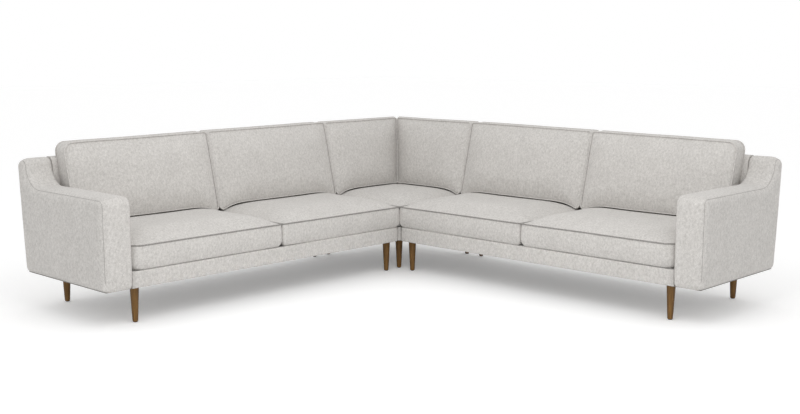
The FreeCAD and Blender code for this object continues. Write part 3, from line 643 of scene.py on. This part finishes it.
def make_arm():
    """A padded arm: soft rims all round, harder underneath and behind, and slightly full sides."""
    soften = 1 - UNDERSIDE_HARDNESS * FACING_DOWN ** 2 - REAR_HARDNESS * FACING_REAR ** 2
    name = "right_arm_upholstery"
    arm = padded_prism(name, ARM_LINE, place, ARM_INNER, RUN_END, ARM_RIMS, ARM_STEP, soften)
    remesh = arm.modifiers.new("Even", "REMESH")
    remesh.mode = "VOXEL"
    remesh.voxel_size = VOXEL
    smooth = arm.modifiers.new("Ease", "SMOOTH")
    smooth.factor = 0.5
    smooth.iterations = 5
    bake(arm)
    co = points_of(arm)
    u, v, z = places_of(co)
    across = (u - ARM_INNER) / (RUN_END - ARM_INNER) * 2 - 1
    sides = hump(z, *SIDE_LEVELS) * hump(v, *SIDE_DEPTHS)
    co[:, 0] += SIDE_FULLNESS * np.sign(across) * np.abs(across) ** 3 * sides
    co[:, 0] += OUTWARD_LEAN * ramp(z, *LEAN_LEVELS) ** 0.7 * ramp(across, -1, 2) ** 2
    front = ramp(v, *FRONT_DEPTHS) * ramp(z, *FRONT_LEVELS) * (1 - 0.6 * across ** 2)
    co[:, 1] -= FRONT_FULLNESS * front
    co[:, 2] -= FOOT_DROP * (z < FOOT_LEVELS)
    wing = BACK_TOP - (v / WING_END) * (BACK_TOP - ARM_TOP)
    ceiling = np.where(v < WING_END, wing, ARM_TOP)
    crown = ramp(z - ceiling, -TOP_BAND, TOP_BAND) * hump(across, 0, 1)
    co[:, 2] += TOP_FULLNESS * crown * ramp(v, TOP_START, TOP_EASE) * ramp(TOP_END - v, 0, TOP_EASE)
    put_points(arm, co)
    return arm


BOARD_THICK = 12
BOARD_INSET = 15
FOOT_INSET = 7


def make_boards():
    """Side boards of the arm's frame, with their corners cut back as the padding is rounded."""
    inset = BOARD_INSET - (BOARD_INSET - FOOT_INSET) * FACING_DOWN
    line = ARM_LINE - ARM_NORMAL * inset[:, None]
    boards = []
    for start in (ARM_INNER + BOARD_INSET, RUN_END - BOARD_INSET - BOARD_THICK):
        boards.append(padded_prism("board", line, place, start, start + BOARD_THICK, (0.5, 0.5), 20))
    with bpy.context.temp_override(active_object=boards[0], selected_editable_objects=boards):
        bpy.ops.object.join()
    boards[0].name = "right_arm_boards"
    return boards[0]


SEAM_TURN = math.radians(52)
SEAM_FOOT = 40
SEAM_RADIUS = 0.0013


def arm_seams(arm):
    """Top-stitched seams where the arm's band meets its side panels."""
    drawn = ARM_EDGE * (1 - math.cos(SEAM_TURN))
    line = (ARM_LINE - ARM_NORMAL * drawn)[ARM_LINE[:, 1] > BASE + SEAM_FOOT]
    paths = []
    for side, inward in ((ARM_INNER, 1), (RUN_END, -1)):
        at = side + inward * ARM_EDGE * (1 - math.sin(SEAM_TURN))
        paths.append([arm.closest_point_on_mesh(place(at, a, b))[1] for a, b in line])
    return tube("right_arm_seams", paths, SEAM_RADIUS, 6, closed=False)


CORNER_STEPS = 14
UPRIGHT_STEPS = 4


def make_corner_back():
    """The padded back round the outer corner, in one piece, with a rounded upright edge."""
    corner_round = [EDGE * (1 - min(v / TOP_THICK, 1)) for v, _ in BACK_LINE]
    rows = []
    for k in range(CORNER_STEPS + 1):
        share = k / CORNER_STEPS
        row = []
        for (v, z), radius in zip(BACK_LINE, corner_round):
            row.append((CORNER_EDGE + (v + radius - CORNER_EDGE) * share, v, z))
        rows.append(row)
    for k in range(1, UPRIGHT_STEPS + 1):
        turn = math.pi / 4 * k / UPRIGHT_STEPS
        row = []
        for (v, z), radius in zip(BACK_LINE, corner_round):
            row.append((v + radius - radius * math.sin(turn), v + radius - radius * math.cos(turn), z))
        rows.append(row)
    rows += [[(v, u, z) for u, v, z in row] for row in rows[-2::-1]]
    points = [place(*spot) for row in rows for spot in row]
    rings = rings_at(0, len(rows), len(BACK_LINE))
    return make_object("corner_back_upholstery", points, [tuple(rings[0]), tuple(rings[-1])] + band(rings))


# Materials

def node_material(name):
    material = bpy.data.materials.new(name)
    material.use_nodes = True
    tree = material.node_tree
    return material, tree, tree.nodes["Principled BSDF"]


def add(tree, kind, **values):
    node = tree.nodes.new(kind)
    for key, value in values.items():
        if key in node.inputs:
            node.inputs[key].default_value = value
        else:
            setattr(node, key, value)
    return node


def work_out(tree, kind, operation, *values):
    """The result of a maths node. Each value is a socket to link or a number to set."""
    node = add(tree, kind, operation=operation)
    for socket, value in zip(node.inputs, values):
        if isinstance(value, bpy.types.NodeSocket):
            tree.links.new(value, socket)
        else:
            socket.default_value = value
    return node.outputs[0]


def noise_on(tree, spots, **values):
    texture = add(tree, "ShaderNodeTexNoise", **values)
    tree.links.new(spots, texture.inputs["Vector"])
    return texture.outputs["Fac"]


def stretched(tree, spots, scale):
    mapping = add(tree, "ShaderNodeMapping", Scale=scale)
    tree.links.new(spots, mapping.inputs["Vector"])
    return mapping.outputs[0]


def two_tones(tree, factor, dark, light, low=0.0, high=1.0):
    """A colour between dark and light, as the factor goes from low to high."""
    tones = add(tree, "ShaderNodeValToRGB")
    first, last = tones.color_ramp.elements
    first.position = low
    last.position = high
    first.color = (*dark, 1)
    last.color = (*light, 1)
    tree.links.new(factor, tones.inputs["Fac"])
    return tones.outputs["Color"]


def spread(tree, value, low, high, start=0.0, end=1.0):
    """Carry a value from the range start to end over to low to high."""
    node = add(tree, "ShaderNodeMapRange")
    for name, number in (("From Min", start), ("From Max", end), ("To Min", low), ("To Max", high)):
        node.inputs[name].default_value = number
    tree.links.new(value, node.inputs["Value"])
    return node.outputs[0]


def bump_with(tree, height, shader, strength, distance):
    bump = add(tree, "ShaderNodeBump", Strength=strength, Distance=distance)
    tree.links.new(height, bump.inputs["Height"])
    tree.links.new(bump.outputs["Normal"], shader.inputs["Normal"])


def basket_weave(tree, place_in):
    """Products of two waves, each pair used where the surface faces the third axis."""
    maths, vectors = "ShaderNodeMath", "ShaderNodeVectorMath"
    scaled = work_out(tree, vectors, "MULTIPLY", place_in.outputs["Object"], (1900, 1900, 1900))
    waves = add(tree, "ShaderNodeSeparateXYZ")
    tree.links.new(work_out(tree, vectors, "SINE", scaled), waves.inputs[0])
    normal = place_in.outputs["Normal"]
    facing = add(tree, "ShaderNodeSeparateXYZ")
    tree.links.new(work_out(tree, vectors, "MULTIPLY", normal, normal), facing.inputs[0])
    total = 0
    for first, second, third in ((0, 1, 2), (0, 2, 1), (1, 2, 0)):
        product = work_out(tree, maths, "MULTIPLY", waves.outputs[first], waves.outputs[second])
        total = work_out(tree, maths, "MULTIPLY_ADD", product, facing.outputs[third], total)
    return total


def cloth_material(name, dark, light, strength=0.35):
    """Heathered cloth: threads of two tones, slubs and a fine basket weave."""
    material, tree, shader = node_material(name)
    place_in = add(tree, "ShaderNodeTexCoord")
    spots = place_in.outputs["Object"]
    threads = noise_on(tree, spots, Scale=270.0, Detail=4.0, Roughness=0.65)
    slubs = noise_on(tree, stretched(tree, spots, (1.1, 1.1, 0.8)), Scale=88.0, Detail=3.0, Roughness=0.6)
    blotch = noise_on(tree, spots, Scale=9.0, Detail=2.0, Roughness=0.5)
    slub_share = work_out(tree, "ShaderNodeMath", "MULTIPLY", slubs, 0.45)
    yarn = work_out(tree, "ShaderNodeMath", "MULTIPLY_ADD", threads, 0.55, slub_share)
    tint = add(tree, "ShaderNodeHueSaturation")
    tree.links.new(spread(tree, blotch, 0.975, 1.025, 0.3, 0.7), tint.inputs["Value"])
    tree.links.new(two_tones(tree, yarn, dark, light, 0.36, 0.66), tint.inputs["Color"])
    tree.links.new(tint.outputs["Color"], shader.inputs["Base Color"])
    weave = basket_weave(tree, place_in)
    height = work_out(tree, "ShaderNodeMath", "MULTIPLY_ADD", weave, 0.35, yarn)
    bump_with(tree, height, shader, strength, 0.0012)
    shader.inputs["Roughness"].default_value = 0.92
    shader.inputs["Specular IOR Level"].default_value = 0.25
    shader.inputs["Sheen Weight"].default_value = 0.12
    shader.inputs["Sheen Roughness"].default_value = 0.5
    return material


def wood_material(name, dark, light, grain, roughness):
    """Wood whose grain runs along one axis."""
    material, tree, shader = node_material(name)
    place_in = add(tree, "ShaderNodeTexCoord")
    spots = stretched(tree, place_in.outputs["Object"], grain)
    streaks = noise_on(tree, spots, Scale=1.0, Detail=6.0, Roughness=0.62, Distortion=0.6)
    pores = noise_on(tree, spots, Scale=5.0, Detail=3.0, Roughness=0.7)
    tree.links.new(two_tones(tree, streaks, dark, light, 0.3, 0.7), shader.inputs["Base Color"])
    bump_with(tree, pores, shader, 0.15, 0.0005)
    gloss = spread(tree, pores, roughness - 0.08, roughness + 0.08)
    tree.links.new(gloss, shader.inputs["Roughness"])
    return material


def shade_rims(material, dark):
    """Painted shade: the wood's colour darkens where the surface turns away from view."""
    tree = material.node_tree
    shader = tree.nodes["Principled BSDF"]
    grain = shader.inputs["Base Color"].links[0].from_socket
    facing = add(tree, "ShaderNodeLayerWeight", Blend=0.35)
    mix = add(tree, "ShaderNodeMix", data_type="RGBA")
    tree.links.new(facing.outputs["Facing"], mix.inputs["Factor"])
    tree.links.new(grain, mix.inputs[6])
    mix.inputs[7].default_value = (*dark, 1)
    tree.links.new(mix.outputs[2], shader.inputs["Base Color"])
    shader.inputs["Specular IOR Level"].default_value = 0.22


def plain_material(name, colour, roughness, metallic=0.0):
    """Metal or plastic with slight mottling and fine wear in its roughness."""
    material, tree, shader = node_material(name)
    place_in = add(tree, "ShaderNodeTexCoord")
    mottle = noise_on(tree, place_in.outputs["Object"], Scale=160.0, Detail=3.0)
    dark = [c * 0.82 for c in colour]
    light = [min(c * 1.12, 1) for c in colour]
    tree.links.new(two_tones(tree, mottle, dark, light), shader.inputs["Base Color"])
    wear = spread(tree, mottle, roughness - 0.1, roughness + 0.1)
    tree.links.new(wear, shader.inputs["Roughness"])
    shader.inputs["Metallic"].default_value = metallic
    return material


fabric = cloth_material("cover_cloth", (0.465, 0.447, 0.424), (0.715, 0.693, 0.666))
# Seat piping cloth, darker than the cover: painted shade under the welt
seam_cloth = cloth_material("seam_cloth", (0.2, 0.19, 0.178), (0.38, 0.366, 0.348), strength=0.2)
# Arm seam cloth, darker than the cover: painted shade in the seams' grooves
arm_seam_cloth = cloth_material("arm_seam_cloth", (0.3, 0.288, 0.272), (0.5, 0.484, 0.464), strength=0.2)
lining = cloth_material("base_lining", (0.27, 0.26, 0.246), (0.42, 0.406, 0.388))
deck_lining = cloth_material("deck_lining", (0.3, 0.29, 0.275), (0.5, 0.49, 0.47))
webbing = cloth_material("webbing_cloth", (0.22, 0.17, 0.1), (0.4, 0.33, 0.22), strength=0.6)
walnut = wood_material("walnut", (0.12, 0.058, 0.016), (0.26, 0.14, 0.042), (260, 260, 9), 0.42)
# Painted shade on the legs' rims, darker where they turn away from view
shade_rims(walnut, (0.03, 0.012, 0.004))
timber = wood_material("sawn_timber", (0.42, 0.27, 0.13), (0.68, 0.5, 0.3), (18, 18, 90), 0.7)
panel_board = wood_material("layered_board", (0.38, 0.25, 0.13), (0.6, 0.43, 0.25), (14, 14, 60), 0.65)
zinc = plain_material("zinc_steel", (0.55, 0.55, 0.56), 0.38, 1.0)
glide = plain_material("glide_plastic", (0.02, 0.018, 0.016), 0.5)


def dress(piece, material, body):
    piece.data.materials.clear()
    piece.data.materials.append(material)
    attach(piece, body)
    return piece


# Cushions of the right run and the corner, then their twins

BODY = {
    "right_seat_cushion_inner": "right_inner_seat",
    "right_seat_cushion_end": "right_end_seat",
    "corner_seat_cushion": "corner_seat",
    "right_back_cushion_inner": "right_inner_back",
    "right_back_cushion_end": "right_end_back",
    "corner_back_cushion_right": "corner_right_back",
}
SEATS = {
    "inner": "right_seat_cushion_inner",
    "end": "right_seat_cushion_end",
    "corner": "corner_seat_cushion",
}
BACKS = {
    "inner": "right_back_cushion_inner",
    "end": "right_back_cushion_end",
    "corner": "corner_back_cushion_right",
}
SPANS = {
    "inner": (DEPTH + HALF_GAP, SPLIT - HALF_GAP),
    "end": (SPLIT + HALF_GAP, ARM_INNER - HALF_GAP),
    "corner": (SEAT_REAR, DEPTH - HALF_GAP),
}
# Radii of the seats' two front corners, and of all corners at a seat's rear and round a back
SEAT_FRONT_ROUNDS = {"inner": (5, 14), "end": (14, 50), "corner": (22, 5)}
SEAT_REAR_ROUNDS = (22, 22)
BACK_ROUNDS = {"inner": (24, 24, 18, 18), "end": (24, 24, 52, 18), "corner": (24, 24, 18, 18)}

made = {}
for key, node in SEATS.items():
    start, end = SPANS[key]
    front = DEPTH - HALF_GAP if key == "corner" else SEAT_FRONT
    radii = (*SEAT_FRONT_ROUNDS[key], *SEAT_REAR_ROUNDS)
    limit = seat_limits(start, end)
    made[node] = seat_cushion(node + "_soft", start, end, front, radii, limit)
for key, node in BACKS.items():
    start, end = SPANS[key]
    loose_from = math.inf
    if key == "corner":
        start = None
    if key == "end":
        end = ARM_INNER - ARM_CLEARANCE
        loose_from = end - LOOSE_END
    limit = back_limits(loose_from)
    made[node] = back_cushion(node + "_soft", start, end, BACK_ROUNDS[key], SPANS[key], limit)
fill_cushions(list(made.values()))

for node, (piece, loops, _, _) in made.items():
    seat = "seat" in node
    if seat:
        welts = piping(piece, loops[:1], node + "_piping", UPWARD * SEAT_PIPING_RISE)
    else:
        welts = piping(piece, loops, node + "_piping", FORWARD * BACK_PIPING_RISE)
    finish_cushion(piece)
    pairs = [(piece, welts, node, BODY[node])]
    if node != "corner_seat_cushion":
        other = node.replace("right", "left")
        body = BODY[node].replace("right", "left")
        twins = [mirror_copy(piece, other + "_soft"), mirror_copy(welts, other + "_piping")]
        pairs.append((*twins, other, body))
    for soft, cord, stands_for, rides in pairs:
        make_uneven(soft)
        make_uneven(cord)
        dress(soft, fabric, rides)
        # Seat piping takes the darker cloth with painted shade; back piping takes the cover cloth
        dress(cord, seam_cloth if seat else fabric, rides)
        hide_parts(stands_for)

# Arms, backs and aprons

APRON_THICK = 18
APRON_RETURN = 9
APRON_ROUND = 24
APRON_RIMS = (5, 8)


def make_apron(name, outline, radii):
    line = round_outline(outline, radii, 40)
    return padded_prism(name, line, plan_place, BASE, DECK_TOP, APRON_RIMS, 20)


arm = make_arm()
seams = arm_seams(arm)
back = padded_prism("right_back_upholstery", BACK_LINE, place, RUN_START, ARM_INNER, (4, 0.5), 60)
apron = make_apron(
    "right_apron_upholstery",
    [
        (RUN_START, DEPTH),
        (ARM_INNER, DEPTH),
        (ARM_INNER, DEPTH - APRON_THICK),
        (RUN_START + APRON_RETURN, DEPTH - APRON_THICK),
        (RUN_START + APRON_RETURN, DECK_REAR),
        (RUN_START, DECK_REAR),
    ],
    [APRON_ROUND, 0, 0, 9, 0, 0],
)
boards = make_boards()
for piece, material, slot, stands_for in (
    (arm, fabric, "cover_fabric", "arm_cover"),
    (boards, panel_board, "frame_board", "arm_panels"),
    # the arm seams' darker cloth is painted shade
    (seams, arm_seam_cloth, "cover_fabric", None),
    (back, fabric, "cover_fabric", "back_cover"),
    (apron, fabric, "cover_fabric", "front_apron"),
):
    twin = mirror_copy(piece, piece.name.replace("right", "left"))
    for one, side in ((piece, "right"), (twin, "left")):
        dress(one, material, "frame")
        if stands_for:
            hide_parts(f"{side}_{stands_for}")
corner_back = dress(make_corner_back(), fabric, "frame")
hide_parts("corner_back_cover_right", "corner_back_cover_left")
APRON_REAR = CORNER_EDGE - APRON_RETURN
corner_apron = make_apron(
    "corner_apron_upholstery",
    [
        (CORNER_EDGE, CORNER_EDGE),
        (CORNER_EDGE, DECK_REAR),
        (APRON_REAR, DECK_REAR),
        (APRON_REAR, APRON_REAR),
        (DECK_REAR, APRON_REAR),
        (DECK_REAR, CORNER_EDGE),
    ],
    [APRON_ROUND, 0, 0, APRON_ROUND - APRON_RETURN, 0, 0],
)
dress(corner_apron, fabric, "frame")
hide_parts("corner_front_apron")

# Legs and glides

REAR_LINE = RAIL_REAR + 14
FRONT_LINE = DEPTH - 80
CORNER_LINE = DEPTH - 88
INNER_LINE = RUN_START + 26
END_LINE = ARM_INNER - 56
run_spots = [(u, v) for u in (INNER_LINE, END_LINE) for v in (FRONT_LINE, REAR_LINE)]
corner_spots = [(u, v) for u in (REAR_LINE, CORNER_LINE) for v in (REAR_LINE, CORNER_LINE)]
leg_spots = run_spots + [(v, u) for u, v in run_spots] + corner_spots

FOOT_LEVEL = 8
FOOT_RADIUS = 13.5
TAPER_HEIGHT = 172
TAPER = 8.8
TAPER_STEPS = 8
TOP_RADIUS = 22.4


def turn_all(name, profile, spots, sides=40):
    """Turn a profile of radii and levels at each spot."""
    points, faces = [], []
    for u, v in spots:
        rings = rings_at(len(points), len(profile), sides)
        for radius, level in profile:
            for k in range(sides):
                turn = 2 * math.pi * k / sides
                points.append(place(u + radius * math.cos(turn), v + radius * math.sin(turn), level))
        faces += band(rings) + [tuple(rings[0]), tuple(rings[-1])]
    return make_object(name, points, faces)


leg_profile = [(10.2, 3), (11.6, 3.3), (12.7, 4.2), (13.3, 5.8), (FOOT_RADIUS, FOOT_LEVEL)]
for k in range(1, TAPER_STEPS + 1):
    share = k / TAPER_STEPS
    leg_profile.append((FOOT_RADIUS + TAPER * share ** 0.9, FOOT_LEVEL + TAPER_HEIGHT * share))
leg_profile += [(TOP_RADIUS, 181.6), (TOP_RADIUS, BASE)]
legs = dress(turn_all("turned_legs", leg_profile, leg_spots), walnut, "frame")
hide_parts("legs")
glide_profile = [(8.5, 0), (9.6, 0.4), (10, 1.2), (10, 3)]
pads = dress(turn_all("floor_glides", glide_profile, leg_spots, 28), glide, "frame")
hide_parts("leg_glides")

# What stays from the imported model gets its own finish
finishes = {
    "frame_timber": timber,
    "frame_board": panel_board,
    "webbing": webbing,
    "base_cloth": lining,
    "steel": zinc,
}
for row in frame["record"]["subparts"]:
    node = frame["nodes"][row["node"]]
    if row["material_slot"] in finishes:
        node.data.materials.clear()
        node.data.materials.append(finishes[row["material_slot"]])
for node in ("right_seat_deck", "left_seat_deck", "corner_seat_deck"):
    frame["nodes"][node].data.materials[0] = deck_lining

# Studio: pale floor, white surroundings, soft lamps

SURROUNDINGS = 0.88
FLOOR_SHINE = 0.17


def seen_directly(tree):
    """1 for rays from the camera and for reflections, else 0."""
    rays = add(tree, "ShaderNodeLightPath")
    sockets = rays.outputs["Is Camera Ray"], rays.outputs["Is Glossy Ray"]
    return work_out(tree, "ShaderNodeMath", "MAXIMUM", *sockets)


def make_world():
    """White to look at, and a little dimmer as light."""
    world = bpy.data.worlds.new("studio")
    bpy.context.scene.world = world
    world.use_nodes = True
    tree = world.node_tree
    tree.nodes.clear()
    sky = add(tree, "ShaderNodeBackground", Color=(1, 1, 1, 1))
    tree.links.new(spread(tree, seen_directly(tree), SURROUNDINGS, 1.0), sky.inputs["Strength"])
    out = add(tree, "ShaderNodeOutputWorld")
    tree.links.new(sky.outputs[0], out.inputs["Surface"])


def make_floor():
    """A pale floor that keeps its shadows and looks near white."""
    bpy.ops.mesh.primitive_plane_add(size=60, location=(0, 0, 0))
    floor = bpy.context.object
    floor.name = "floor"
    ground, tree, shader = node_material("pale_floor")
    shader.inputs["Base Color"].default_value = (0.93, 0.93, 0.93, 1)
    shader.inputs["Roughness"].default_value = 0.8
    shader.inputs["Specular IOR Level"].default_value = 0.1
    shine = add(tree, "ShaderNodeEmission")
    strength = work_out(tree, "ShaderNodeMath", "MULTIPLY", seen_directly(tree), FLOOR_SHINE)
    tree.links.new(strength, shine.inputs["Strength"])
    both = add(tree, "ShaderNodeAddShader")
    tree.links.new(shader.outputs[0], both.inputs[0])
    tree.links.new(shine.outputs[0], both.inputs[1])
    tree.links.new(both.outputs[0], tree.nodes["Material Output"].inputs["Surface"])
    floor.data.materials.append(ground)
    return floor


def area_lamp(name, at, aim, size, power):
    lamp = bpy.data.lights.new(name, "AREA")
    lamp.shape = "SQUARE"
    lamp.size = size
    lamp.energy = power
    holder = bpy.data.objects.new(name, lamp)
    holder.location = at
    holder.rotation_euler = (Vector(aim) - Vector(at)).to_track_quat("-Z", "Y").to_euler()
    bpy.context.scene.collection.objects.link(holder)


make_world()
floor = make_floor()
area_lamp("key", (1.15, -1.15, 2.4), (-0.4, 0.4, 0.5), 1.6, 21)
area_lamp("front", (3.0, -3.2, 3.6), (0, 0, 0.3), 3.5, 10)

# Camera, fitted to the photograph: place in metres, angles in degrees

CAMERA_PLACE = (3.8582, -4.0242, 1.312)
CAMERA_DOWN = 8.25
CAMERA_TURN = 43.92
camera = bpy.data.objects.new("camera", bpy.data.cameras.new("camera"))
camera.data.lens = 50
camera.data.sensor_width = 36
camera.data.clip_end = 100
camera.location = CAMERA_PLACE
camera.rotation_euler = (math.radians(90 - CAMERA_DOWN), 0, math.radians(CAMERA_TURN))
bpy.context.scene.collection.objects.link(camera)
bpy.context.scene.camera = camera
bpy.context.scene.view_settings.view_transform = "Standard"
